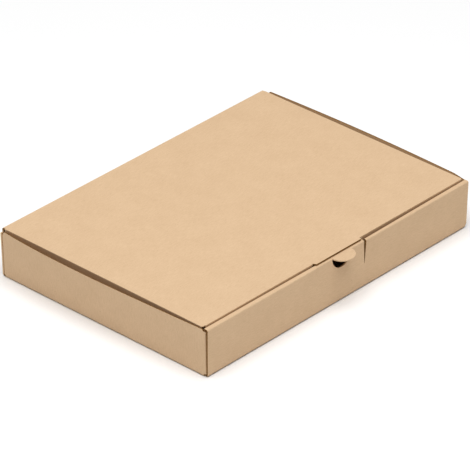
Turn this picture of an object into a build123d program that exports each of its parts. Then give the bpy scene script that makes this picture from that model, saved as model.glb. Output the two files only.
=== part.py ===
"""Flat mailer carton of thin corrugated board: one folded tray and its hinged lid, closed."""
import math
import os

from build123d import *

# Closed carton, outside
outer_length = 350.0
outer_depth = 250.0
outer_height = 50.0

# Board, its creases, the air between folded layers, and how near an edge must lie to be picked
board = 1.5
crease_inside = 0.2
layer_gap = 0.2
lid_gap = 0.3
cut_overrun = 2.0
pick_share = 0.1

# The strip of the blank that holds lid, back wall, base and front wall, short of the side walls' faces
inset_left = 2.0
inset_right = 4.5

# Side walls: how far their raw top edges belly outwards, how far behind the middle, and their top corners
left_bow = 4.4
left_bow_shift = 22.0
right_bow = 3.0
right_bow_shift = 5.0
wall_corner_radius = 4.0

# Ears: the side walls' end flaps, tucked into the front wall and glued behind the back wall
ear_length = 62.0
ear_drop = 3.5
ear_lift = 0.3
ear_corner_radius = 7.0

# Locks: feet of the inner front wall, pushed through slots in the base
lock_length = 40.0
lock_spacing = 210.0
lock_play = 0.4

# Front tab, between two slits, pressed in by the lid's tongue, with its half-moon thumb lip
tab_length = 65.0
slit_depth = 24.0
slit_foot = 0.3
slit_left = 0.5
slit_right = 1.3
tab_lean = 0.9
tab_drop = 0.7
tab_strip = 3.2
thumb_radius = 12.5

# Lid: tongue, tuck flaps and the relief at the flaps' ends
tongue_length = 64.0
tongue_reach = 2.2
tongue_relief = 0.4
front_clearance = 0.4
front_flap_depth = 28.0
front_flap_angle = 4.5
side_flap_depth = 30.0
side_flap_setback = 4.0
flap_corner_radius = 11.0
corner_relief = 1.6

# Hinge crease: half on the tray and half on the lid, with a small angle left open between them
hinge_middle_angle = 45.0
hinge_open_angle = 6.0

# Levels and faces that follow from the sizes above
half_length = outer_length / 2
half_depth = outer_depth / 2
crease_outside = board + crease_inside
pick_range = board * pick_share
wall_top = outer_height - board - lid_gap
wall_foot = crease_outside + board
front_face = -half_depth
front_layers = 3
roll_depth = front_layers * board + (front_layers - 1) * layer_gap
inner_face = front_face + roll_depth
column_left = inset_left - half_length
column_right = half_length - inset_right
column_width = column_right - column_left
hinge_y = half_depth - crease_outside
hinge_z = outer_height - crease_outside
hinge_reach_angle = hinge_middle_angle - hinge_open_angle
inner_foot = board + layer_gap
wing_front = front_face + board + layer_gap + crease_outside
wing_back = half_depth - board - crease_outside
wing_middle = (wing_front + wing_back) / 2
ear_top = wall_top - ear_drop
ear_foot = board + ear_lift
tab_root = wall_top - slit_depth
tab_top = wall_top - tab_drop
tab_face = front_face + tab_lean
tab_half = tab_length / 2
lid_front = inner_face + front_clearance
panel_front = lid_front + crease_outside
panel_left = column_left + crease_outside
panel_right = column_right - crease_outside
panel_back = hinge_y - side_flap_setback + corner_relief
lid_under = outer_height - board


def is_cut_corner(edge, level):
    """True for a short edge through the board that lies at a level."""
    return abs(edge.length - board) < pick_range and abs(edge.center().Z - level) < pick_range


with BuildPart() as tray:
    # Back wall, base, front wall, top strip and inner front wall: one strip of board, folded
    with BuildSketch(Plane.YZ.offset(column_left)):
        with BuildLine():
            hinge_half = CenterArc((hinge_y, hinge_z), crease_outside, hinge_reach_angle, -hinge_reach_angle)
            FilletPolyline(
                hinge_half @ 1,
                (half_depth, 0),
                (front_face, 0),
                (front_face, wall_top),
                (inner_face, wall_top),
                (inner_face, tab_root),
                radius=crease_outside,
            )
            offset(amount=board, side=Side.RIGHT)
        make_face()
        with Locations((inner_face, tab_root)):
            Rectangle(board, tab_root - inner_foot, align=(Align.MAX, Align.MAX))
    extrude(amount=column_width)

    # Ends of the back wall, cut back to the lid's width at the hinge
    cut_width = crease_outside + cut_overrun
    with BuildSketch(Plane.XY.offset(-cut_overrun)):
        for start_x in (panel_left - cut_width, panel_right):
            with Locations((start_x, hinge_y)):
                Rectangle(cut_width, cut_width, align=(Align.MIN, Align.MIN))
    extrude(amount=outer_height + 2 * cut_overrun, mode=Mode.SUBTRACT)

    # Base creases at the two ends, up to the foot of each side wall
    with BuildSketch(Plane.XZ.offset(-wing_back)):
        with BuildLine():
            FilletPolyline(
                (-half_length, wall_foot),
                (-half_length, 0),
                (half_length, 0),
                (half_length, wall_foot),
                radius=crease_outside,
            )
            offset(amount=board, side=Side.LEFT)
        make_face()
    extrude(amount=wing_back - wing_front)

    # Side walls, straight at the foot and bellied outwards at the raw top edge
    for side, bow, bow_shift in ((-1, left_bow, left_bow_shift), (1, right_bow, right_bow_shift)):
        bow_y = wing_middle + bow_shift
        outer_x = side * half_length
        inner_x = outer_x - side * board
        with BuildSketch(Plane.XY.offset(wall_foot)):
            with BuildLine():
                Polyline(
                    (outer_x, wing_front),
                    (outer_x, wing_back),
                    (inner_x, wing_back),
                    (inner_x, wing_front),
                    close=True,
                )
            make_face()
        with BuildSketch(Plane.XY.offset(wall_top)):
            with BuildLine():
                Spline((outer_x, wing_front), (outer_x + side * bow, bow_y), (outer_x, wing_back))
                Line((outer_x, wing_back), (inner_x, wing_back))
                Spline((inner_x, wing_back), (inner_x + side * bow, bow_y), (inner_x, wing_front))
                Line((inner_x, wing_front), (outer_x, wing_front))
            make_face()
        loft(ruled=True)
    fillet(
        tray.edges().filter_by(Axis.X).filter_by(lambda edge: is_cut_corner(edge, wall_top)),
        radius=wall_corner_radius,
    )

    # Ears, folded in from both ends of each side wall, their free corners rounded before they join it
    for side in (-1, 1):
        outer_x = side * half_length
        for end, root_y in ((-1, wing_front), (1, wing_back)):
            fold_middle = (outer_x - side * crease_outside, root_y)
            ear_y = root_y + end * crease_outside
            with BuildSketch(Plane.XY.offset(ear_foot)):
                with BuildLine():
                    fold = CenterArc(fold_middle, crease_outside, 90 - 90 * side, 90 * side * end)
                    Line(fold @ 1, (outer_x - side * ear_length, ear_y))
                    offset(amount=board, side=Side.LEFT if side * end > 0 else Side.RIGHT)
                make_face()
            ear = extrude(amount=ear_top - ear_foot, mode=Mode.PRIVATE)
            free_corners = ear.edges().filter_by(Axis.Y).group_by(Axis.X)[-1 if side < 0 else 0]
            add(ear.fillet(ear_corner_radius, free_corners))

    # Slots in the base, and the inner front wall's feet that lock into them
    lock_y = inner_face - board / 2
    with BuildSketch():
        with Locations((-lock_spacing / 2, lock_y), (lock_spacing / 2, lock_y)):
            Rectangle(lock_length + 2 * lock_play, board + 2 * lock_play)
    extrude(amount=board, mode=Mode.SUBTRACT)
    with BuildSketch(Plane.XY.offset(layer_gap)):
        with Locations((-lock_spacing / 2, lock_y), (lock_spacing / 2, lock_y)):
            Rectangle(lock_length, board)
    extrude(amount=board)

    # Window in the front wall's layers for the tab and the tongue, wider at the right slit
    window_back = inner_face + cut_overrun
    window_top = wall_top + cut_overrun
    with BuildSketch(Plane.XZ.offset(-window_back)):
        with BuildLine():
            Polyline(
                (-tab_half - slit_foot, tab_root),
                (tab_half + slit_foot, tab_root),
                (tab_half + slit_right, window_top),
                (-tab_half - slit_left, window_top),
                close=True,
            )
        make_face()
    extrude(amount=roll_depth + 2 * cut_overrun, mode=Mode.SUBTRACT)

    # Tab, leaning in from the foot of the slits, with its narrow top strip
    with BuildSketch(Plane.YZ.offset(-tab_half)):
        with BuildLine():
            FilletPolyline(
                (front_face, tab_root - board),
                (front_face, tab_root),
                (tab_face, tab_top),
                (tab_face + tab_strip, tab_top),
                radius=(slit_depth, crease_outside),
            )
            offset(amount=board, side=Side.RIGHT)
        make_face()
    extrude(amount=tab_length)

    # Thumb hole, and the half-moon of board from it that stays level with the top strip
    with BuildSketch(Plane.XZ.offset(-inner_face)):
        with BuildLine():
            thumb_arc = CenterArc((0, tab_top - board), thumb_radius, 180, 180)
            Line(thumb_arc @ 1, thumb_arc @ 0)
        make_face()
    extrude(amount=roll_depth + cut_overrun, mode=Mode.SUBTRACT)
    with BuildSketch(Plane.XY.offset(tab_top - board)):
        with BuildLine():
            lip_arc = CenterArc((0, tab_face), thumb_radius, 180, 180)
            Polyline(
                lip_arc @ 1,
                (thumb_radius, tab_face + tab_strip),
                (-thumb_radius, tab_face + tab_strip),
                lip_arc @ 0,
            )
        make_face()
    extrude(amount=board)

with BuildPart() as lid:
    # Strip along the hinge, with the lid's half of the hinge crease
    with BuildSketch(Plane.YZ.offset(panel_left)):
        with BuildLine():
            Line((panel_back, outer_height), (hinge_y, outer_height))
            CenterArc((hinge_y, hinge_z), crease_outside, 90, -hinge_reach_angle)
            offset(amount=board, side=Side.RIGHT)
        make_face()
    extrude(amount=panel_right - panel_left)

    # Panel between the creases, and the flat tongue that reaches over the front tab
    with BuildSketch(Plane.XY.offset(lid_under)):
        with BuildLine():
            Polyline(
                (panel_left, panel_front),
                (-tongue_length / 2, panel_front),
                (-tongue_length / 2, lid_front - tongue_reach),
                (tongue_length / 2, lid_front - tongue_reach),
                (tongue_length / 2, panel_front),
                (panel_right, panel_front),
                (panel_right, panel_back),
                (panel_left, panel_back),
                close=True,
            )
        make_face()
    extrude(amount=board)

    # Side tuck flaps, folded straight down
    flap_back = hinge_y - side_flap_setback
    flap_front = panel_front + corner_relief
    for side, edge_x in ((-1, column_left), (1, column_right)):
        fold_middle = (edge_x - side * crease_outside, hinge_z)
        with BuildSketch(Plane.XZ.offset(-flap_back)):
            with BuildLine():
                fold = CenterArc(fold_middle, crease_outside, 90, -90 * side)
                Line(fold @ 1, (edge_x, outer_height - side_flap_depth))
                offset(amount=board, side=Side.RIGHT if side > 0 else Side.LEFT)
            make_face()
        extrude(amount=flap_back - flap_front)

    # Front tuck flaps, one each side of the tongue, leaning in clear of the front wall
    flap_tip = lid_front + front_flap_depth * math.tan(math.radians(front_flap_angle))
    tongue_side = tongue_length / 2 + tongue_relief
    for start_x, end_x in (
        (panel_left + corner_relief, -tongue_side),
        (tongue_side, panel_right - corner_relief),
    ):
        with BuildSketch(Plane.YZ.offset(start_x)):
            with BuildLine():
                FilletPolyline(
                    (panel_front + crease_outside, outer_height),
                    (lid_front, outer_height),
                    (flap_tip, outer_height - front_flap_depth),
                    radius=crease_outside,
                )
                offset(amount=board, side=Side.LEFT)
            make_face()
        extrude(amount=end_x - start_x)

    # Rounded free corners of the four flaps
    side_tip_z = outer_height - side_flap_depth
    front_tip_z = outer_height - front_flap_depth
    fillet(
        lid.edges().filter_by(lambda edge: is_cut_corner(edge, side_tip_z) or is_cut_corner(edge, front_tip_z)),
        radius=flap_corner_radius,
    )

os.makedirs("parts", exist_ok=True)
tray.part.label = "tray"
export_step(tray.part, "parts/tray.step")
lid.part.label = "lid"
export_step(lid.part, "parts/lid.step")
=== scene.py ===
"""Looks of the flat mailer box: folded corrugated board with open flute edges, on a white sweep."""
import math

import bmesh
import bpy
from mathutils import Matrix, Vector
from mathutils.geometry import delaunay_2d_cdt


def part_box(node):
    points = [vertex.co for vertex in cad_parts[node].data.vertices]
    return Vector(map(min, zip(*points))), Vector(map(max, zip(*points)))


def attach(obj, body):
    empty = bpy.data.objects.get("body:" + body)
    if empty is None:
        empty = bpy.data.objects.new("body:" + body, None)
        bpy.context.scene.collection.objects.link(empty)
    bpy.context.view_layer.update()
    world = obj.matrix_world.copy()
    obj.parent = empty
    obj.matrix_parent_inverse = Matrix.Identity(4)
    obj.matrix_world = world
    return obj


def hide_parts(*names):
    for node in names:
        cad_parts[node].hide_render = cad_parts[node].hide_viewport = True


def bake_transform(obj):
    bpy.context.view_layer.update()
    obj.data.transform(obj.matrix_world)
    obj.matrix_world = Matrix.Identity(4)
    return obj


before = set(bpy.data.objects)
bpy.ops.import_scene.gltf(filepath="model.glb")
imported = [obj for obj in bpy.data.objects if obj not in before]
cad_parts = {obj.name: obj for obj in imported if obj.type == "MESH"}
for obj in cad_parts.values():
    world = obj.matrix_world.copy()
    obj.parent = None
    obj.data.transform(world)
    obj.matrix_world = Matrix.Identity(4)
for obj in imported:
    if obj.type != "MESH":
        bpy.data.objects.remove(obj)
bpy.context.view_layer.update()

# Places read from the frame, in millimetres
MM = 0.001
tray_low, tray_high = (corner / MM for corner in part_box("tray"))
lid_low, lid_high = (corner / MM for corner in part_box("lid"))
half_depth = tray_high.y
top = lid_high.z
lid_left, lid_right = lid_low.x, lid_high.x
side_flap_depth = top - lid_low.z
lip_reach = -tray_low.y

# Board: its papers, how deep the open edge is seen into, and its flutes
board = 1.5
liner = 0.24
edge_recess = 1.6
flute_pitch = 3.3
flute_paper = 0.17
flute_step = 0.3
flute_setback = 0.12

# Creases: outside radii, the least radius inside, and how far the crush beside one reaches
crease_radius = 1.0
ear_radius = 2.2
roll_radius = 1.5
inner_roll_radius = 1.3
lid_crease_radius = 0.5
hinge_radius = 1.9
crease_core = 0.1
crush_reach = 1.6
crush_split = 3
crease_steps = 6
tab_bend_steps = 2
square = 90

# Tray walls
half_length = 175.0
column_left = lid_left
column_right_extra = 0.2
column_right = column_right_extra - lid_left
foot_flare = 1.2
side_foot_lift = 1.0
front_foot_lift = 1.4
side_foot_tuck = 1.5
front_foot_tuck = 0.2
foot_run = 30.0
hinge_inset = 0.9
hinge_left = lid_left + hinge_inset
hinge_right = lid_right - hinge_inset
back_inset = 0.3
back_half = half_length - back_inset
back_shoulder = 45.5
wall_top = 48.2
side_tops = {-1: 48.7, 1: 48.2}
roll_depth = 4.9
inner_foot = 1.7
lock_foot = 0.2
lock_half = 20.0
lock_middle = 105.0
slot_play = 0.4
left_bow = -half_length - tray_low.x
right_bow = tray_high.x - half_length
left_bow_share = 0.38
right_bow_share = 0.48
back_corner = 4.0
left_corner_run = 1.0
left_corner_drop = 1.6
right_corner_run = 15.0
right_corner_drop = 2.0
fold_drop = 3.6
fold_end_share = 1.5
head_presses = {-1: 0.5, 1: 0.1}
head_press_run = 2.0

# Ears
ear_front_face = 123.3
ear_back_face = 123.5
ear_slant = 0.9
ear_length = 62.0
ear_foot = 1.8
ear_top = 44.7
ear_corner = 7.0

# Front tab, its slits and its thumb lip
tab_ends = {-1: 32.5, 1: 30.8}
tab_root = 24.2
tab_top = 48.0
tab_setback = 0.9
tab_strip = 3.2
tab_bend_radius = 24.0
slit_feet = {-1: 0.08, 1: 0.4}
slit_left = 0.15
slit_right = 2.1
left_strip_lift = 0.35
pinch_left = 0.3
pinch_right = 1.7
pinch_left_fade = 1.9
pinch_right_fade = 1.1
foot_nick = 2.2
foot_nick_rise = 2.6
lip_press = 0.2
thumb_middle = 1.0
moon_steps = 24

# Lid
lid_front = 119.7
tongue_ends = {-1: 32.0, 1: 29.2}
tongue_extra = 0.4
tongue_front = tongue_extra - lid_low.y
tongue_slot = 0.15
tongue_slant = 2.0
front_flap_depth = 28.0
front_flap_lean = 7.5
side_flap_lean = 10.0
left_edge_skew = 0.45
side_flap_back = 121.3
side_flap_fronts = {-1: 118.2, 1: 118.6}
front_flap_insets = {-1: 3.6, 1: 1.2}
flap_corner = 11.0

# Hinge strip: where it takes over from the back wall and from the lid
hinge_strip_foot = 46.7
hinge_strip_end = 121.7

# Mesh: spacing of the lines that split each panel, rounding, and what counts as the same place
tray_step = 10.0
lid_step = 20.0
panel_step = 25.0
corner_steps = 6
sharp_turn = 0.4
smooth_angle = 32
hair = 1e-6
spot_play = 1e-5
cut_play = 1e-4
line_play = 1e-3
weld_play = 2e-6
sliver = 1e-6
flute_weld = 1e-7
outside_slot, cut_slot, inside_slot = range(3)


class FoldPath:
    """The board's outer face seen end on: straight runs and creases, from a panel's middle outwards."""

    def __init__(self, *steps):
        self.legs = []
        self.starts = []
        reach, point, heading = 0.0, Vector((0.0, 0.0)), 0.0
        for kind, size, *radius in steps:
            turn = math.radians(size) if kind == "turn" else 0.0
            length = turn * radius[0] if kind == "turn" else size
            self.starts.append(reach)
            self.legs.append((reach, reach + length, point, heading, radius[0] if radius else 0.0))
            reach += length
            point = self.on_leg(self.legs[-1], reach, 0.0)
            heading += turn
        self.end = reach

    @staticmethod
    def on_leg(leg, reach, depth):
        """The place on one run or crease."""
        start, _, point, heading, radius = leg
        along = reach - start
        left = Vector((-math.sin(heading), math.cos(heading)))
        if radius:
            angle = heading + along / radius
            return point + left * radius - Vector((-math.sin(angle), math.cos(angle))) * (radius - depth)
        return point + Vector((math.cos(heading), math.sin(heading))) * along + left * depth

    def crush(self, reach):
        """How much of the board's thickness is left, because creases press it thin."""
        share = 1.0
        for start, end, _, _, radius in self.legs:
            if 0 < radius < board + crease_core:
                away = max(start - reach, reach - end, 0.0)
                press = max(0.0, 1.0 - away / crush_reach) ** 2
                share = min(share, 1.0 - (1.0 - (radius - crease_core) / board) * press)
        return share

    def point(self, reach, depth):
        """The place at a length along the face and a depth into the board."""
        leg = next((leg for leg in reversed(self.legs) if reach >= leg[0] - hair), self.legs[0])
        return self.on_leg(leg, reach, depth * self.crush(reach))

    def bends(self, first=0, last=None):
        """Lengths at which the flat board is split, so that it can follow its creases from first to last."""
        lines = []
        creases = [leg for leg in self.legs if leg[-1]]
        for start, end, _, _, radius in creases[first:last]:
            steps = crease_steps if radius < tab_bend_radius else tab_bend_steps
            lines += [start + (end - start) * k / steps for k in range(steps + 1)]
            for beside in (crush_reach, crush_reach / crush_split):
                lines += [start - beside, end + beside]
        return lines


def tangent(radius, degrees):
    """Length that a crease of a radius and turn takes off each straight beside it."""
    return radius * math.tan(math.radians(degrees) / 2)


front_path = FoldPath(
    ("run", half_depth - crease_radius),
    ("turn", square, crease_radius),
    ("run", wall_top - crease_radius - roll_radius),
    ("turn", square, roll_radius),
    ("run", roll_depth - roll_radius - inner_roll_radius),
    ("turn", square, inner_roll_radius),
    ("run", wall_top - inner_roll_radius - lock_foot),
)
_, _, front_foot_v, front_head_v, strip_v, strip_end_v, inner_head_v = front_path.starts
tab_lean = math.degrees(math.atan2(tab_setback, tab_top - tab_root))
tab_rise = tab_top - tab_root - tab_bend_radius * math.sin(math.radians(tab_lean)) - board
tab_path = FoldPath(
    ("run", half_depth - crease_radius),
    ("turn", square, crease_radius),
    ("run", tab_root - crease_radius),
    ("turn", tab_lean, tab_bend_radius),
    ("run", tab_rise),
    ("turn", square - tab_lean, board),
    ("run", tab_strip - board),
)
_, _, _, tab_root_v, _, tab_fold_v, tab_strip_v = tab_path.starts
thumb_radius = lip_reach - tab_path.point(tab_strip_v, 0.0).x - board
thumb_left, thumb_right = thumb_middle - thumb_radius, thumb_middle + thumb_radius
back_path = FoldPath(
    ("run", half_depth - crease_radius),
    ("turn", square, crease_radius),
    ("run", top - crease_radius - hinge_radius),
    ("turn", square, hinge_radius),
    ("run", half_depth - hinge_radius - hinge_strip_end),
)
side_path = FoldPath(
    ("run", half_length - crease_radius),
    ("turn", square, crease_radius),
    ("run", wall_top - crease_radius),
)
ear_path = FoldPath(("turn", square, ear_radius), ("run", ear_length - ear_radius))
lid_front_turn = square + front_flap_lean
lid_front_path = FoldPath(
    ("run", lid_front - tangent(lid_crease_radius, lid_front_turn)),
    ("turn", lid_front_turn, lid_crease_radius),
    ("run", front_flap_depth / math.cos(math.radians(front_flap_lean)) - lid_crease_radius),
)
lid_side_turn = square + side_flap_lean
lid_side_paths = {
    side: FoldPath(
        ("run", edge - tangent(lid_crease_radius, lid_side_turn)),
        ("turn", lid_side_turn, lid_crease_radius),
        ("run", side_flap_depth - lid_crease_radius),
    )
    for side, edge in ((-1, -lid_left), (1, lid_right))
}


def belly(side, along, height):
    """How far a side wall swells outwards, at a share of its way from the back fold to the front one."""
    bow, share = (left_bow, left_bow_share) if side < 0 else (right_bow, right_bow_share)
    skew = math.log(0.5) / math.log(share)
    return bow * math.sin(math.pi * along ** skew) * max(0.0, height / side_tops[side])


def place_side_wall(side, reach, v, depth):
    """A side wall or one of its ears, from the flat blank to the folded tray."""
    height = side_path.point(reach, 0.0).y
    front_end = ear_front_face - ear_radius - ear_slant * height / wall_top
    back_end = ear_back_face - ear_radius
    along = min(max((back_end + v) / (back_end + front_end), 0.0), 1.0)
    if -back_end <= v <= front_end:
        near_head = max(0.0, 1.0 - (height_on_side(side_tops[side]) - reach) / head_press_run)
        out, z = side_path.point(reach, depth * (1.0 - head_presses[side] * near_head ** 2))
        return Vector((side * (out + belly(side, along, z)), -v, z))
    end, way = (front_end, -1) if v > 0 else (back_end, 1)
    past, inwards = ear_path.point(abs(v) - end, depth)
    return Vector((side * (half_length + belly(side, along, height) - inwards), way * (end + past), height))


def place_tray(u, v, depth):
    """A point of the tray's flat blank, at a depth into the board, where the folded tray has it."""
    point = fold_tray(u, v, depth)
    side = min(max(0.0, 1.0 - (half_length - abs(point.x)) / foot_run) ** 2, 1.0)
    end = min(max(0.0, 1.0 - (half_depth - abs(point.y)) / foot_run) ** 2, 1.0)
    low = max(0.0, 1.0 - point.z / wall_top)
    point.x -= math.copysign(side_foot_tuck * side * low, point.x)
    point.y -= math.copysign(front_foot_tuck * end * low, point.y)
    point.z += max(side_foot_lift * side, front_foot_lift * end) * low
    return point


def fold_tray(u, v, depth):
    """The same with square walls; in the box their feet are tucked in and stand a little off the floor."""
    wall_zone = -ear_back_face + ear_radius - hair <= v <= ear_front_face - ear_radius + hair
    if abs(u) > half_length - crease_radius and (wall_zone or abs(u) > half_length):
        return place_side_wall(math.copysign(1, u), abs(u), v, depth)
    if v < 0:
        y, z = back_path.point(-v, depth)
        return Vector((u, y, z))
    on_tab = -tab_ends[-1] - slit_feet[-1] / 2 < u < tab_ends[1] + slit_feet[1] / 2
    if on_tab and tab_root_v < v < tab_path.end + crush_reach:
        out, z = tab_path.point(v, depth)
        return Vector((u, -out, z))
    out, z = front_path.point(v, depth)
    lift = left_strip_lift * max(0.0, u / column_left) * z / wall_top
    return Vector((u, -out - strip_pinch(u, v, z), z + lift))


def strip_pinch(u, v, z):
    """How far the strip's inner edge and the inner wall are pressed forwards, most of all beside the tab."""
    if u < 0:
        edge, tab_end, most, fade = -column_left, tab_ends[-1], pinch_left, pinch_left_fade
    else:
        edge, tab_end, most, fade = column_right, tab_ends[1], pinch_right, pinch_right_fade
    beside = min(max((edge - abs(u)) / (edge - tab_end), 0.0), 1.0) ** fade
    across = min(max((v - strip_v) / (strip_end_v - strip_v), 0.0), 1.0)
    return most * beside * across * max(0.0, z / wall_top)


def place_lip(u, v, depth):
    """The thumb lip, level with the tab's narrow top strip; v runs outwards from the strip's crease."""
    pressed = 1.0 - lip_press * min(max(v / board, 0.0), 1.0)
    return place_tray(u, tab_strip_v, depth * pressed) - Vector((0.0, v, 0.0))


def place_lid(u, v, depth):
    """A point of the lid's flat blank where the closed lid has it."""
    side = -1 if u < 0 else 1
    path = lid_side_paths[side]
    skew = left_edge_skew * v / lid_front
    if abs(u) > path.starts[1]:
        out, down = path.point(abs(u), depth)
        return Vector((side * out - skew * (side < 0), -v, top - down))
    if v > lid_front_path.starts[1] and abs(u) > tongue_ends[side] + tongue_slot / 2:
        out, down = lid_front_path.point(v, depth)
        return Vector((u - skew * max(0.0, u / lid_left), -out, top - down))
    return Vector((u - skew * max(0.0, u / lid_left), -v, top - depth))


def rounded(points, radii):
    """A closed outline with the corners that have a radius rounded."""
    outline = []
    count = len(points)
    for k, (point, radius) in enumerate(zip(points, radii)):
        corner = Vector(point)
        if not radius:
            outline.append(corner)
            continue
        before = (Vector(points[k - 1]) - corner).normalized()
        after = (Vector(points[(k + 1) % count]) - corner).normalized()
        middle = corner + (before + after) * radius
        start, end = -after * radius, -before * radius
        for step in range(corner_steps + 1):
            angle = math.pi / 2 * step / corner_steps
            outline.append(middle + start * math.cos(angle) + end * math.sin(angle))
    return outline


def height_on_front(z):
    """Where a height on the front wall lies on the flat blank."""
    return front_foot_v + z - crease_radius


def height_on_inner(z):
    """The same for the inner front wall."""
    return inner_head_v + wall_top - inner_roll_radius - z


def height_on_back(z):
    """The same for the back wall."""
    return -(back_path.starts[2] + z - crease_radius)


def height_on_side(z):
    """The same for a side wall."""
    return side_path.starts[2] + z - crease_radius


def half_moon(level, way):
    """The thumb's half circle on the blank, from a level towards the foot (1) or away from it (-1)."""
    angles = [math.pi * k / moon_steps for k in range(moon_steps + 1)]
    return [
        (thumb_middle + way * thumb_radius * math.cos(angle), level - way * thumb_radius * math.sin(angle))
        for angle in angles
    ]


def wing_corners(side):
    """Corners and radii of a side wall with its two ears, from the back to the front."""
    foot, ear_end, head = (side * height_on_side(z) for z in (ear_foot, ear_top, side_tops[side]))
    back, front = ear_back_face - ear_radius, ear_front_face - ear_radius
    reach = ear_path.end
    run, drop = (left_corner_run, left_corner_drop) if side < 0 else (right_corner_run, right_corner_drop)
    bend = ear_path.starts[1]
    return [
        ((foot, -back), 0), ((foot, -back - reach), ear_corner), ((ear_end, -back - reach), ear_corner),
        ((ear_end, -back), 0), ((head, -back), back_corner), ((head, front - run), 0),
        ((head - side * drop, front), 0), ((head - side * fold_drop, front + bend), 0),
        ((ear_end, front + bend * fold_end_share), 0), ((ear_end, front + reach), ear_corner),
        ((foot, front + reach), ear_corner), ((foot, front), 0),
    ]


def tray_outline():
    """The tray's cut outline on the flat blank, and its holes."""
    back_edge = height_on_back(hinge_strip_foot)
    back, front = ear_back_face - ear_radius, ear_front_face - ear_radius
    foot_v, head_v = height_on_front(crease_radius), front_head_v
    inner_v, lock_v = height_on_inner(inner_foot), height_on_inner(lock_foot)
    shoulder_v = height_on_back(back_shoulder)
    corners = [((hinge_right, back_edge), 0), ((hinge_right, shoulder_v), 0)]
    corners += [((back_half, shoulder_v), 0), ((back_half, -back), 0)]
    corners += wing_corners(1)
    corners += [((column_right, front), 0), ((column_right - foot_nick, foot_v - crease_radius), 0)]
    corners += [((column_right, foot_v + foot_nick_rise), 0)]
    corners += [((column_right, head_v), 0), ((column_right, inner_v), 0)]
    for middle in (lock_middle, -lock_middle):
        corners += [((middle + lock_half, inner_v), 0), ((middle + lock_half, lock_v), 0)]
        corners += [((middle - lock_half, lock_v), 0), ((middle - lock_half, inner_v), 0)]
    corners += [((column_left, inner_v), 0), ((column_left, head_v), 0)]
    corners += [((column_left - foot_flare, foot_v), 0), ((column_left - foot_flare / 2, front), 0)]
    corners += wing_corners(-1)[::-1]
    corners += [((-back_half, -back), 0), ((-back_half, shoulder_v), 0)]
    corners += [((hinge_left, shoulder_v), 0), ((hinge_left, back_edge), 0)]
    loops = [rounded(*zip(*corners))]
    lock_y = half_depth - roll_depth + board / 2
    slot_half = board / 2 + slot_play
    for middle in (-lock_middle, lock_middle):
        near, far = lock_y - slot_half, lock_y + slot_half
        left, right = middle - lock_half - slot_play, middle + lock_half + slot_play
        loops.append([(left, near), (right, near), (right, far), (left, far)])
    root_v, end_v = tab_root_v, tab_path.end
    window_v = height_on_inner(tab_root)
    left, right = -tab_ends[-1], tab_ends[1]
    loops.append([
        (left, root_v), (left - slit_feet[-1], root_v), (left - slit_left, head_v),
        (left - slit_left, window_v), (right + slit_right, window_v), (right + slit_right, head_v),
        (right + slit_feet[1], root_v), (right, root_v), (right, end_v), (left, end_v),
    ])
    loops.append(half_moon(tab_fold_v, 1) + [(thumb_left, tab_strip_v), (thumb_right, tab_strip_v)])
    return [[Vector(point) for point in loop] for loop in loops]


def pressed_shut(u, v):
    """Whether the tray's cut line is pressed shut: at the back wall's ends and round the thumb hole."""
    in_hole = tab_fold_v - thumb_radius - crease_core < v < tab_strip_v
    at_back = v < -ear_back_face and abs(u) < half_length
    return at_back or in_hole and thumb_left - crease_core < u < thumb_right + crease_core


def lip_outline():
    """The half-moon lip with the short neck that joins it to the tab's strip."""
    neck = [(thumb_right, 0.0), (thumb_left, 0.0)]
    return [[Vector(point) for point in neck + half_moon(board, -1)]]


def lid_outline():
    """The lid's cut outline on the flat blank."""
    flap_v = lid_front_path.end
    fold_v = lid_front_path.starts[1]
    corners = [((hinge_left, -hinge_strip_end), 0), ((hinge_right, -hinge_strip_end), 0)]
    flap_u, fold_u = lid_side_paths[1].end, lid_side_paths[1].starts[1]
    corners += [((hinge_right, -side_flap_back), 0), ((flap_u, -side_flap_back), flap_corner)]
    corners += [((flap_u, side_flap_fronts[1]), flap_corner), ((fold_u, side_flap_fronts[1]), 0)]
    corners += [((fold_u, fold_v), 0)]
    right, tongue, slot = lid_right - front_flap_insets[1], tongue_ends[1], tongue_ends[1] + tongue_slot
    corners += [((right, fold_v), 0), ((right, flap_v), flap_corner), ((slot, flap_v), flap_corner)]
    corners += [((slot, fold_v), 0), ((tongue, fold_v), 0), ((tongue, tongue_front), 0)]
    left, tongue, slot = lid_left + front_flap_insets[-1], -tongue_ends[-1], -tongue_ends[-1] - tongue_slot
    corners += [((tongue + tongue_slant, tongue_front), 0), ((tongue, fold_v), 0), ((slot, fold_v), 0)]
    corners += [((slot, flap_v), flap_corner), ((left, flap_v), flap_corner), ((left, fold_v), 0)]
    flap_u, fold_u = -lid_side_paths[-1].end, -lid_side_paths[-1].starts[1]
    corners += [((fold_u, fold_v), 0), ((fold_u, side_flap_fronts[-1]), 0)]
    corners += [((flap_u, side_flap_fronts[-1]), flap_corner), ((flap_u, -side_flap_back), flap_corner)]
    corners += [((hinge_left, -side_flap_back), 0)]
    return [rounded(*zip(*corners))]


def at_lid_corner(u, v):
    """Whether a place on the lid's cut line is at a front corner, between the two flaps."""
    side, edge = (-1, -lid_left) if u < 0 else (1, lid_right)
    past_flaps = v > side_flap_fronts[side] and abs(u) > edge - front_flap_insets[side]
    short_of_front = v < lid_front_path.starts[1] + crease_core
    short_of_side = abs(u) < lid_side_paths[side].starts[1] + crease_core
    return past_flaps and short_of_front and short_of_side


def hinge_outline():
    """The strip of blank over the hinge crease."""
    low = -back_path.end
    high = height_on_back(hinge_strip_foot)
    corners = [(hinge_left, low), (hinge_right, low), (hinge_right, high), (hinge_left, high)]
    return [[Vector(corner) for corner in corners]]


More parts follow.
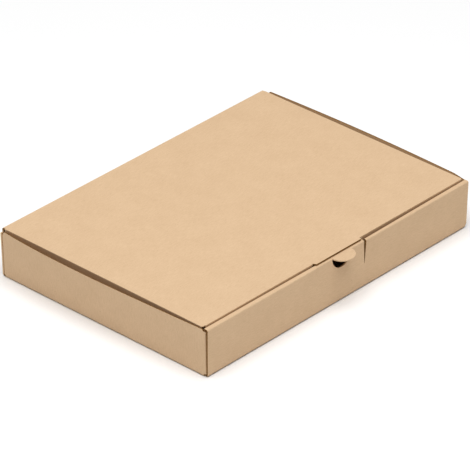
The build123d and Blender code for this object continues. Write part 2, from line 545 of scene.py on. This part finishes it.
def encloses(loop, point):
    """Whether a closed outline goes round a point."""
    inside = False
    for a, b in zip(loop, loop[1:] + loop[:1]):
        if (a.y > point.y) != (b.y > point.y):
            inside ^= point.x < a.x + (b.x - a.x) * (point.y - a.y) / (b.y - a.y)
    return inside


def flat_blank(loops, lines_u, lines_v):
    """The flat board inside its cut lines, split along the lines where it bends."""
    points, edges = [], []
    for loop in loops:
        first = len(points)
        points += loop
        edges += [(first + k, first + (k + 1) % len(loop)) for k in range(len(loop))]
    spots, _, faces, *_ = delaunay_2d_cdt(points, edges, [], 1, spot_play)
    flat = bmesh.new()
    verts = [flat.verts.new((x, y, 0.0)) for x, y in spots]
    for face in faces:
        middle = sum((spots[k] for k in face), Vector((0.0, 0.0))) / len(face)
        if sum(encloses(loop, middle) for loop in loops) % 2:
            flat.faces.new([verts[k] for k in face])
    for normal, lines in (((1, 0, 0), lines_u), ((0, 1, 0), lines_v)):
        for line in sorted(lines):
            geometry = flat.verts[:] + flat.edges[:] + flat.faces[:]
            bmesh.ops.bisect_plane(
                flat, geom=geometry, dist=cut_play, plane_co=Vector(normal) * line, plane_no=normal
            )
    return flat


def inward_steps(flat):
    """For each point on a cut edge, the way into the board, long enough to keep the recess even."""
    steps = {}
    for vert in flat.verts:
        sides = []
        for edge in vert.link_edges:
            if edge.is_boundary:
                along = (edge.verts[1].co - edge.verts[0].co).normalized()
                across = Vector((-along.y, along.x, 0.0))
                middle = edge.link_faces[0].calc_center_median()
                sides.append(across if across.dot(middle - edge.verts[0].co) > 0 else -across)
        if len(sides) == 2:
            steps[vert] = (sides[0] + sides[1]) / max(1.0 + sides[0].dot(sides[1]), sharp_turn)
    return steps


def add_sheet(folded, rails, loops, lines, place, welded=(), seams=(), pressed=None):
    """Adds a stretch of board to a folded mesh: liners, an open recess at cut edges and rails for flutes.

    Welded lines go on in another sheet of the same mesh; seams meet a sheet of another mesh. Edges that
    pressed(u, v) names are pressed shut, with no flutes to see."""
    flat = flat_blank(loops, *lines)
    steps = inward_steps(flat)
    layer = folded.loops.layers.uv.active
    spot = {}

    def corner(vert, level, depth, inset):
        key = (vert, level)
        if key not in spot:
            uv = vert.co + steps[vert] * inset if inset else vert.co
            made = folded.verts.new(place(uv.x, uv.y, depth) * MM)
            spot[key] = (made, uv.xy * MM)
        return spot[key]

    def add_face(corners, material):
        face = folded.faces.new([made for made, _ in corners])
        face.material_index = material
        face.smooth = True
        for loop, (_, uv) in zip(face.loops, corners):
            loop[layer].uv = uv

    levels = [("out", 0.0, 0.0), ("rim_a", liner, 0.0), ("bed_a", liner, edge_recess)]
    levels += [("bed_b", board - liner, edge_recess), ("rim_b", board - liner, 0.0), ("in", board, 0.0)]
    flush = [levels[0], levels[1], levels[4], levels[5]]
    for face in flat.faces:
        add_face([corner(v, *levels[0]) for v in face.verts], outside_slot)
        add_face([corner(v, *levels[-1]) for v in reversed(face.verts)], inside_slot)
    grooved, closed = set(), set()
    for edge in flat.edges:
        if not edge.is_boundary:
            continue
        a, b = edge.verts
        shut = pressed is not None and pressed(*((a.co + b.co) / 2).xy)
        if on_lines(edge, welded):
            closed.update((a, b))
            continue
        open_edge = not shut and not on_lines(edge, seams)
        rim = levels if open_edge else flush
        for near, far in zip(rim, rim[1:]):
            ring = [corner(a, *near), corner(b, *near), corner(b, *far), corner(a, *far)]
            add_face(ring, outside_slot if shut else cut_slot)
        if open_edge:
            rails.append([rail_point(vert, steps[vert], place) for vert in (a, b)])
        (grooved if open_edge else closed).update((a, b))
    for vert in flat.verts:
        if vert in grooved and vert in closed:
            add_face([corner(vert, *level) for level in levels[1:-1]], cut_slot)
    flat.free()


def rail_point(vert, step, place):
    """Where flute paper meets a cut edge: its place, the ways across and into the board, and its length."""
    seat = vert.co + step * flute_setback
    deep = vert.co + step * edge_recess
    middle = place(seat.x, seat.y, board / 2)
    across = (place(seat.x, seat.y, board) - place(seat.x, seat.y, 0.0)) / board
    inward = place(deep.x, deep.y, board / 2) - middle
    return middle * MM, across, inward * MM, vert.co.y * MM


def on_lines(edge, lines):
    """Whether an edge of the flat board lies on one of the lines of constant v."""
    return any(
        all(abs(vert.co.y - v) < line_play and low - line_play <= vert.co.x <= high + line_play
            for vert in edge.verts)
        for v, low, high in lines
    )


def spaced(low, high, step):
    """Lines between two ends, about a step apart."""
    count = max(1, round((high - low) / step))
    return [low + (high - low) * k / count for k in range(1, count)]


def finish_board(name, folded, materials):
    """A mesh object from a folded board."""
    bmesh.ops.remove_doubles(folded, verts=folded.verts, dist=weld_play)
    bmesh.ops.dissolve_degenerate(folded, edges=folded.edges, dist=sliver)
    bmesh.ops.triangulate(folded, faces=folded.faces)
    bmesh.ops.recalc_face_normals(folded, faces=folded.faces)
    mesh = bpy.data.meshes.new(name)
    folded.to_mesh(mesh)
    folded.free()
    mesh.set_sharp_from_angle(angle=math.radians(smooth_angle))
    for material in materials:
        mesh.materials.append(material)
    piece = bpy.data.objects.new(name, mesh)
    bpy.context.scene.collection.objects.link(piece)
    return piece


def new_folded():
    """An empty mesh for folded board, with the flat blank as its UV map."""
    folded = bmesh.new()
    folded.loops.layers.uv.new("blank")
    return folded


class Wire:
    """A socket's value in a node tree. Arithmetic on it adds Math nodes."""

    def __init__(self, maker, socket):
        self.maker = maker
        self.socket = socket

    def math(self, operation, first, second=0.0):
        return self.maker.add("ShaderNodeMath", {"operation": operation}, {0: first, 1: second})

    def __add__(self, other):
        return self.math("ADD", self, other)

    def __radd__(self, other):
        return self.math("ADD", other, self)

    def __sub__(self, other):
        return self.math("SUBTRACT", self, other)

    def __rsub__(self, other):
        return self.math("SUBTRACT", other, self)

    def __mul__(self, other):
        return self.math("MULTIPLY", self, other)

    def __rmul__(self, other):
        return self.math("MULTIPLY", other, self)

    def __truediv__(self, other):
        return self.math("DIVIDE", self, other)

    def __rtruediv__(self, other):
        return self.math("DIVIDE", other, self)

    def sine(self):
        return self.math("SINE", self)

    def most(self, other):
        return self.math("MAXIMUM", self, other)


class Maker:
    """Adds nodes to one tree, each in a single call."""

    def __init__(self, tree):
        self.tree = tree

    def add(self, kind, settings=None, inputs=None, output=0):
        node = self.tree.nodes.new(kind)
        for name, value in (settings or {}).items():
            setattr(node, name, value)
        for key, value in (inputs or {}).items():
            self.feed(self.socket_of(node, key), value)
        return Wire(self, node.outputs[output]) if node.outputs else node

    @staticmethod
    def socket_of(node, key):
        if isinstance(key, int):
            return node.inputs[key]
        by_identifier = [socket for socket in node.inputs if socket.identifier == key]
        return by_identifier[0] if by_identifier else node.inputs[key]

    def feed(self, socket, value):
        if isinstance(value, (list, tuple)) and value and isinstance(value[0], Wire):
            for wire in value:
                self.tree.links.new(wire.socket, socket)
        elif isinstance(value, Wire):
            self.tree.links.new(value.socket, socket)
        else:
            socket.default_value = value


def material_maker(name):
    """A new empty material and the maker of its nodes."""
    material = bpy.data.materials.new(name)
    material.use_nodes = True
    material.node_tree.nodes.clear()
    return material, Maker(material.node_tree)


def finish_material(maker, shader):
    """Joins a shader to the material's output."""
    maker.add("ShaderNodeOutputMaterial", None, {"Surface": shader})


def noise(maker, place, scale, detail, roughness=0.5):
    """A soft random value over a surface."""
    return maker.add("ShaderNodeTexNoise", None, {
        "Vector": place, "Scale": scale, "Detail": detail, "Roughness": roughness})


def between(maker, share, start, end):
    """A colour that goes from start to end as the share grows."""
    inputs = {"Factor_Float": share, "A_Color": start, "B_Color": end}
    return maker.add("ShaderNodeMix", {"data_type": "RGBA"}, inputs, 2)


# Kraft colours, pale and deep, of the two liners, the cut edges and the flutes; the cut edge and flute browns
# are partly the raw board's own colour and partly painted shade, darker and warmer than lit raw board, for
# the gaps and recesses where they are seen
outside_pale = (0.707, 0.502, 0.315, 1.0)
outside_deep = (0.598, 0.409, 0.245, 1.0)
inside_pale = (0.685, 0.458, 0.255, 1.0)
inside_deep = (0.575, 0.370, 0.195, 1.0)
kraft_fleck = (0.40, 0.255, 0.14, 1.0)
# painted shade: these cut edge browns are darkened and warmed past the raw board's own colour, standing in
# for the shade of the gaps they sit in
cut_pale_and_shade = (0.35, 0.175, 0.048, 1.0)
cut_deep_and_shade = (0.22, 0.100, 0.024, 1.0)
# painted shade: flute browns darkened and warmed the same way, for the shade inside the open edges
flute_pale_and_shade = (0.40, 0.21, 0.064, 1.0)
flute_deep_and_shade = (0.26, 0.13, 0.034, 1.0)

# Liner: scales of its clouds, streaks, grain and flecks, and how much each shows in tone and relief
cloud_scale = 38.0
streak_scale = (160.0, 1100.0, 1.0)
grain_scale = 950.0
fleck_scale = 620.0
cloud_tone = 0.8
streak_tone = 1.25
grain_tone = 1.6
flute_tone = 0.012
tone_drop = 1.32
fleck_from = 0.69
fleck_to = 0.80
fleck_strength = 0.5
grain_relief = 0.5
streak_relief = 0.4
flute_relief = 0.35
liner_relief = 0.00008
liner_relief_strength = 0.35
liner_roughness = 0.80
grain_roughness = 0.15
liner_shine = 0.2

# Cut edges and flutes: scales of their fibres, relief and finish
cut_fibre_scale = 1500.0
flute_fibre_scale = 1100.0
cut_relief = 0.0001
cut_relief_strength = 0.4
cut_roughness = 0.9
cut_shine = 0.15


def kraft_liner(name, kraft_pale, kraft_deep):
    """A liner of the board: warm brown, with a cloudy tone, fine fibres, flecks and faint flute lines."""
    material, maker = material_maker(name)
    blank = maker.add("ShaderNodeUVMap", {"uv_map": "blank"})
    along = maker.add("ShaderNodeSeparateXYZ", None, {0: blank}, 1)
    cloud = noise(maker, blank, cloud_scale, detail=4.0, roughness=0.6)
    streaked = maker.add("ShaderNodeMapping", None, {"Vector": blank, "Scale": streak_scale})
    streak = noise(maker, streaked, scale=1.0, detail=3.0)
    grain = noise(maker, blank, grain_scale, detail=3.0, roughness=0.7)
    fleck = noise(maker, blank, fleck_scale, detail=1.0)
    flute = (along * (2 * math.pi / (flute_pitch * MM))).sine()
    tone = cloud * cloud_tone + streak * streak_tone + grain * grain_tone + flute * flute_tone - tone_drop
    paper = between(maker, tone, kraft_deep, kraft_pale)
    speck = maker.add("ShaderNodeMapRange", None, {
        "Value": fleck, "From Min": fleck_from, "From Max": fleck_to})
    colour = between(maker, speck * fleck_strength, paper, kraft_fleck)
    height = grain * grain_relief + streak * streak_relief + flute * flute_relief
    bump = maker.add("ShaderNodeBump", None, {
        "Strength": liner_relief_strength, "Distance": liner_relief, "Height": height})
    shader = maker.add("ShaderNodeBsdfPrincipled", None, {
        "Base Color": colour, "Roughness": liner_roughness + grain * grain_roughness,
        "Specular IOR Level": liner_shine, "Normal": bump})
    finish_material(maker, shader)
    return material


def kraft_cut_and_shade():
    """Cut edge of the board and the inside of its flutes: rougher, in a deeper brown that is partly the raw
    board's own colour and partly painted shade for the gaps it is seen in.
    """
    material, maker = material_maker("kraft_cut_and_shade")
    place = maker.add("ShaderNodeTexCoord", None, None, "Object")
    fibre = noise(maker, place, cut_fibre_scale, detail=3.0)
    bump = maker.add("ShaderNodeBump", None, {
        "Strength": cut_relief_strength, "Distance": cut_relief, "Height": fibre})
    shader = maker.add("ShaderNodeBsdfPrincipled", None, {
        "Base Color": between(maker, fibre, cut_deep_and_shade, cut_pale_and_shade), "Roughness": cut_roughness,
        "Specular IOR Level": cut_shine, "Normal": bump})
    finish_material(maker, shader)
    return material


def flute_paper_and_shade():
    """Fluted paper between the liners: recycled brown, deepened with painted shade for the open edges it is
    seen in.
    """
    material, maker = material_maker("flute_paper")
    place = maker.add("ShaderNodeTexCoord", None, None, "Object")
    fibre = noise(maker, place, flute_fibre_scale, detail=2.0)
    shader = maker.add("ShaderNodeBsdfPrincipled", None, {
        "Base Color": between(maker, fibre, flute_deep_and_shade, flute_pale_and_shade), "Roughness": cut_roughness,
        "Specular IOR Level": cut_shine})
    finish_material(maker, shader)
    return material


def flute_tree(material):
    """Geometry nodes that bend a paper strip into flutes along the cut edges it is given."""
    tree = bpy.data.node_groups.new("flutes_at_cut_edges", "GeometryNodeTree")
    tree.interface.new_socket("Geometry", in_out="INPUT", socket_type="NodeSocketGeometry")
    for name in ("Pitch", "Height", "Paper", "Step"):
        tree.interface.new_socket(name, in_out="INPUT", socket_type="NodeSocketFloat")
    tree.interface.new_socket("Geometry", in_out="OUTPUT", socket_type="NodeSocketGeometry")
    maker = Maker(tree)
    start = maker.add("NodeGroupInput")
    inputs = {socket.name: Wire(maker, socket) for socket in start.socket.node.outputs if socket.name}
    curve = maker.add("GeometryNodeMeshToCurve", None, {"Mesh": inputs["Geometry"]})
    fine = maker.add("GeometryNodeResampleCurve", {"mode": "LENGTH"},
                     {"Curve": curve, "Length": inputs["Step"]})
    across = maker.add("GeometryNodeInputNamedAttribute", {"data_type": "FLOAT_VECTOR"}, {"Name": "across"})
    inward = maker.add("GeometryNodeInputNamedAttribute", {"data_type": "FLOAT_VECTOR"}, {"Name": "inward"})
    along = maker.add("GeometryNodeInputNamedAttribute", {"data_type": "FLOAT"}, {"Name": "along"})
    wave = (along * (2 * math.pi) / inputs["Pitch"]).sine() * inputs["Height"] * 0.5
    shift = maker.add("ShaderNodeVectorMath", {"operation": "SCALE"}, {0: across, "Scale": wave})
    waved = maker.add("GeometryNodeSetPosition", None, {"Geometry": fine, "Offset": shift})
    line = maker.add("GeometryNodeCurveToMesh", None, {"Curve": waved})
    strip = maker.add("GeometryNodeExtrudeMesh", {"mode": "EDGES"}, {"Mesh": line, "Offset": inward})
    thick = maker.add("GeometryNodeExtrudeMesh", {"mode": "FACES"},
                      {"Mesh": strip, "Offset Scale": inputs["Paper"], "Individual": False})
    under = maker.add("GeometryNodeFlipFaces", None, {"Mesh": strip})
    both = maker.add("GeometryNodeJoinGeometry", None, {"Geometry": [thick, under]})
    closed = maker.add("GeometryNodeMergeByDistance", None, {"Geometry": both, "Distance": flute_weld})
    real = maker.add("GeometryNodeRealizeInstances", None, {"Geometry": closed})
    done = maker.add("GeometryNodeSetMaterial", None, {"Geometry": real, "Material": material})
    maker.add("NodeGroupOutput", None, {"Geometry": done})
    return tree


def flutes_along(name, rails, tree):
    """The fluted paper seen at a board's cut edges, as one plain mesh."""
    mesh = bpy.data.meshes.new(name + "_rails")
    ends = [end for rail in rails for end in rail]
    mesh.from_pydata([end[0] for end in ends], [(2 * k, 2 * k + 1) for k in range(len(rails))], [])
    columns = (
        ("across", "FLOAT_VECTOR", "vector"),
        ("inward", "FLOAT_VECTOR", "vector"),
        ("along", "FLOAT", "value"),
    )
    for column, (attribute, kind, field) in enumerate(columns, start=1):
        data = mesh.attributes.new(attribute, kind, "POINT").data
        for item, end in zip(data, ends):
            setattr(item, field, end[column])
    joined = bmesh.new()
    joined.from_mesh(mesh)
    bmesh.ops.remove_doubles(joined, verts=joined.verts, dist=sliver)
    joined.to_mesh(mesh)
    joined.free()
    rail_piece = bpy.data.objects.new(name + "_rails", mesh)
    bpy.context.scene.collection.objects.link(rail_piece)
    modifier = rail_piece.modifiers.new("flutes", "NODES")
    modifier.node_group = tree
    flute_height = board - 2 * liner - flute_paper
    sizes = {"Pitch": flute_pitch, "Height": flute_height, "Paper": flute_paper, "Step": flute_step}
    for item in tree.interface.items_tree:
        if item.in_out == "INPUT" and item.name in sizes:
            modifier[item.identifier] = sizes[item.name] * MM
    graph = bpy.context.evaluated_depsgraph_get()
    made = bpy.data.meshes.new_from_object(rail_piece.evaluated_get(graph), depsgraph=graph)
    made.name = name
    bpy.data.objects.remove(rail_piece)
    piece = bpy.data.objects.new(name, made)
    bpy.context.scene.collection.objects.link(piece)
    return piece


def build_tray(materials, tree):
    """The folded tray and the flutes at its cut edges."""
    folded, rails = new_folded(), []
    ear_lines = [ear_front_face - ear_radius + s for s in ear_path.bends()]
    ear_lines += [-(ear_back_face - ear_radius + s) for s in ear_path.bends()]
    lines_v = front_path.bends() + [-s for s in back_path.bends(last=1)] + tab_path.bends(first=1) + ear_lines
    lines_v += spaced(-half_depth, half_depth, tray_step)
    lines_u = [sign * s for s in side_path.bends() for sign in (-1, 1)]
    lines_u += spaced(-half_length, half_length, panel_step) + [thumb_left, thumb_right]
    back_edge = height_on_back(hinge_strip_foot)
    add_sheet(folded, rails, tray_outline(), (lines_u, lines_v), place_tray,
              welded=[(tab_strip_v, thumb_left, thumb_right)], seams=[(back_edge, hinge_left, hinge_right)],
              pressed=pressed_shut)
    add_sheet(folded, rails, lip_outline(), (lines_u, [board]), place_lip,
              welded=[(0.0, thumb_left, thumb_right)], pressed=lambda u, v: True)
    piece = finish_board("tray_board", folded, materials)
    return piece, flutes_along("tray_flutes", rails, tree)


def build_lid(materials, tree):
    """The lid with its tongue and tuck flaps, and the flutes at its cut edges."""
    folded, rails = new_folded(), []
    lines_u = lid_side_paths[1].bends() + [-s for s in lid_side_paths[-1].bends()]
    lines_u += spaced(lid_left, lid_right, panel_step)
    lines_v = lid_front_path.bends() + spaced(-half_depth, lid_front, lid_step)
    add_sheet(folded, rails, lid_outline(), (lines_u, lines_v), place_lid,
              seams=[(-hinge_strip_end, hinge_left, hinge_right)], pressed=at_lid_corner)
    piece = finish_board("lid_board", folded, materials)
    return piece, flutes_along("lid_flutes", rails, tree)


def build_hinge(materials, tree):
    """The strip of board over the hinge crease, built in its closed shape."""
    folded, rails = new_folded(), []
    outline = hinge_outline()
    low, high = outline[0][0].y, outline[0][2].y
    lines_u = spaced(hinge_left, hinge_right, panel_step)
    lines_v = [-s for s in back_path.bends(first=1)]
    add_sheet(folded, rails, outline, (lines_u, lines_v), place_tray,
              seams=[(low, hinge_left, hinge_right), (high, hinge_left, hinge_right)])
    piece = finish_board("hinge_crease", folded, materials)
    return piece, flutes_along("hinge_flutes", rails, tree)


def build_box():
    """All the board of the box: the tray's and the lid's pieces ride on their bodies, and the hinge strip
    stays in place.
    """
    materials = [kraft_liner("kraft_outside", outside_pale, outside_deep), kraft_cut_and_shade(),
                 kraft_liner("kraft_inside", inside_pale, inside_deep)]
    tree = flute_tree(flute_paper_and_shade())
    tray, tray_flutes = build_tray(materials, tree)
    lid, lid_flutes = build_lid(materials, tree)
    hinge, hinge_flutes = build_hinge(materials, tree)
    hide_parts("tray")
    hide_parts("lid")
    for piece in (tray, tray_flutes):
        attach(piece, "tray")
    for piece in (lid, lid_flutes):
        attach(piece, "lid")
    for piece in (hinge, hinge_flutes):
        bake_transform(piece)


# Camera, fitted to the edges of the box in the photograph's 470 by 470 frame
camera_azimuth = -47.337
camera_elevation = 30.885
camera_distance = 3965.6
camera_focal_share = 9.3606
camera_shift_right = 1.918
camera_shift_up = -14.496
camera_reach = 100.0
sensor = 36.0


def add_camera():
    """The camera at the photograph's place and angle."""
    turn, lift = math.radians(camera_azimuth), math.radians(camera_elevation)
    back = Vector((math.sin(turn) * math.cos(lift), -math.cos(turn) * math.cos(lift), math.sin(lift)))
    right = Vector((math.cos(turn), math.sin(turn), 0.0))
    up = back.cross(right)
    data = bpy.data.cameras.new("camera")
    data.sensor_width = sensor
    data.lens = camera_focal_share * sensor
    data.clip_end = camera_reach
    camera = bpy.data.objects.new("camera", data)
    bpy.context.scene.collection.objects.link(camera)
    place = Matrix((right, up, back)).transposed().to_4x4()
    place.translation = (back * camera_distance - right * camera_shift_right - up * camera_shift_up) * MM
    camera.matrix_world = place
    bpy.context.scene.camera = camera


# Stage, in metres and watts
floor_half = 6.0
floor_white = (0.93, 0.93, 0.93, 1.0)
pure_white = (1.0, 1.0, 1.0, 1.0)
dome_strength = 0.27
backdrop_strength = 1.0
key_power = 127.0
key_size = 3.2
key_place = (-0.6, -0.5, 3.2)


def floor_finish():
    """White sweep, plain and matt: it keeps the box's shadow and bounces plain light."""
    material, maker = material_maker("white_sweep")
    paper = maker.add("ShaderNodeBsdfDiffuse", None, {"Color": floor_white})
    finish_material(maker, paper)
    return material


def add_stage():
    """Floor, soft overhead light and an even dome."""
    mesh = bpy.data.meshes.new("sweep")
    corners = [(x * floor_half, y * floor_half, 0.0) for x, y in ((-1, -1), (1, -1), (1, 1), (-1, 1))]
    mesh.from_pydata(corners, [], [range(len(corners))])
    mesh.materials.append(floor_finish())
    sweep = bpy.data.objects.new("sweep", mesh)
    bpy.context.scene.collection.objects.link(sweep)
    light = bpy.data.lights.new("overhead", "AREA")
    light.energy = key_power
    light.size = key_size
    lamp = bpy.data.objects.new("overhead", light)
    lamp.location = key_place
    bpy.context.scene.collection.objects.link(lamp)
    world = bpy.data.worlds.new("dome")
    world.use_nodes = True
    world.node_tree.nodes.clear()
    maker = Maker(world.node_tree)
    path = maker.add("ShaderNodeLightPath")
    rays = path.socket.node.outputs
    seen = Wire(maker, rays["Is Camera Ray"]).most(Wire(maker, rays["Is Glossy Ray"]))
    seen = seen.most(Wire(maker, rays["Is Transmission Ray"]))
    dome = maker.add("ShaderNodeBackground", None, {"Color": pure_white, "Strength": dome_strength})
    white = maker.add("ShaderNodeBackground", None, {"Color": pure_white, "Strength": backdrop_strength})
    mixed = maker.add("ShaderNodeMixShader", None, {0: seen, 1: dome, 2: white})
    maker.add("ShaderNodeOutputWorld", None, {"Surface": mixed})
    bpy.context.scene.world = world


build_box()
add_camera()
add_stage()
bpy.context.scene.view_settings.view_transform = "Standard"
